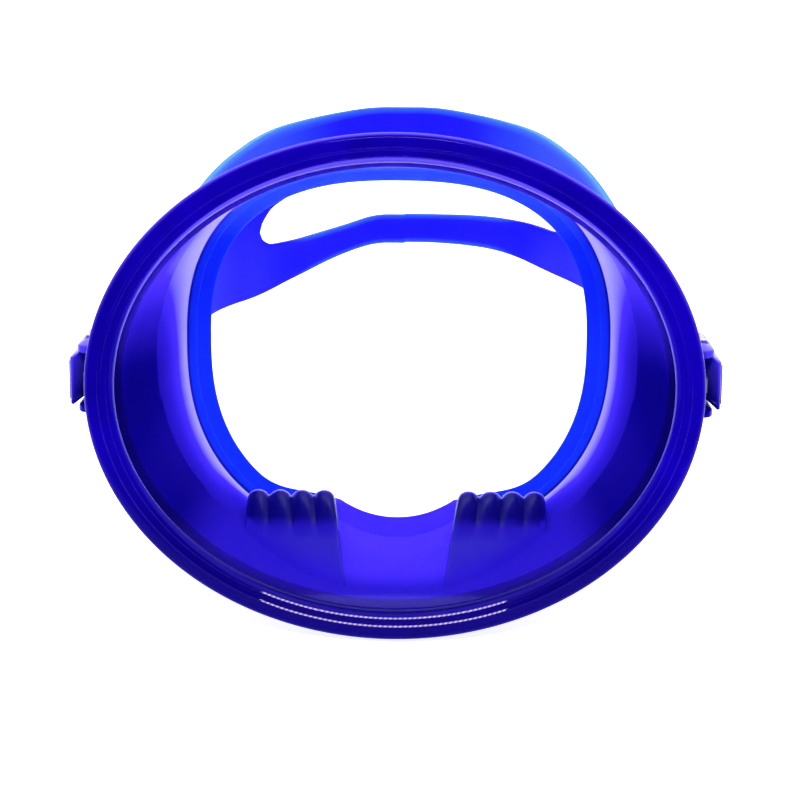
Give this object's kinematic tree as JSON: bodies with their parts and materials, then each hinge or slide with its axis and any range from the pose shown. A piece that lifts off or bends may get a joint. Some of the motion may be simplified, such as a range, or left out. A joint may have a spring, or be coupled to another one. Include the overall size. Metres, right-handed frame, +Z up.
{
  "type": "diving mask",
  "caption": "Oval single-lens diving mask: ridged plastic frame, tempered glass, silicone skirt with finger wells, split head strap and swivelling strap buckles.",
  "frame": {"origin": "under the middle of the bounding box, on the table that the frame's lower edge and the skirt rest on", "axes": "-Y is the way the lens faces, which leans up 15 degrees as the mask rests; +Y is the wearer's side; X across the face; +Z up"},
  "size_m": [0.179, 0.2092, 0.1357],
  "materials": {
    "frame_plastic": "glossy translucent blue-violet",
    "lens_glass": "clear tempered",
    "skirt_silicone": "glossy translucent blue",
    "strap_silicone": "satin translucent blue",
    "buckle_plastic": "glossy",
    "pin_steel": "bright"
  },
  "bodies": {
    "mask_frame": {"front_bezel": "frame_plastic", "lens": "lens_glass", "rear_frame": "frame_plastic", "skirt": "skirt_silicone", "left_pivot_pin": "buckle_plastic", "right_pivot_pin": "buckle_plastic"},
    "strap_assembly": {"strap": "strap_silicone", "left_buckle_body": "buckle_plastic", "left_roller_axle": "pin_steel", "left_lever_pin": "pin_steel", "left_lever_spring": "pin_steel", "left_strap_keeper": "strap_silicone", "right_buckle_body": "buckle_plastic", "right_roller_axle": "pin_steel", "right_lever_pin": "pin_steel", "right_lever_spring": "pin_steel", "right_strap_keeper": "strap_silicone"},
    "left_roller": {"left_strap_roller": "buckle_plastic"},
    "right_roller": {"right_strap_roller": "buckle_plastic"},
    "left_lever": {"left_release_lever": "buckle_plastic"},
    "right_lever": {"right_release_lever": "buckle_plastic"}
  },
  "joints": [
    {"name": "strap_swing", "type": "hinge", "parent": "mask_frame", "child": "strap_assembly", "pos_m": [0, -0.06748, 0.06376], "axis": [1, 0, 0], "range_deg": [-60, 60]},
    {"name": "left_roller_spin", "type": "hinge", "parent": "strap_assembly", "child": "left_roller", "pos_m": [-0.0812, -0.05107, 0.05933], "axis": [0, 0.2606, 0.9655], "continuous": true},
    {"name": "left_lever_press", "type": "hinge", "parent": "strap_assembly", "child": "left_lever", "pos_m": [-0.0857, -0.05918, 0.06152], "axis": [0, 0.2606, 0.9655], "range_deg": [0, 5], "stiffness_Nm_per_rad": 0.3, "springref_deg": -5.73, "deforming": ["left_lever_spring"]},
    {"name": "right_roller_spin", "type": "hinge", "parent": "strap_assembly", "child": "right_roller", "pos_m": [0.0812, -0.05107, 0.05933], "axis": [0, 0.2606, 0.9655], "continuous": true},
    {"name": "right_lever_press", "type": "hinge", "parent": "strap_assembly", "child": "right_lever", "pos_m": [0.0857, -0.05918, 0.06152], "axis": [0, -0.2606, -0.9655], "range_deg": [0, 5], "stiffness_Nm_per_rad": 0.3, "springref_deg": -5.73, "deforming": ["right_lever_spring"]}
  ]
}
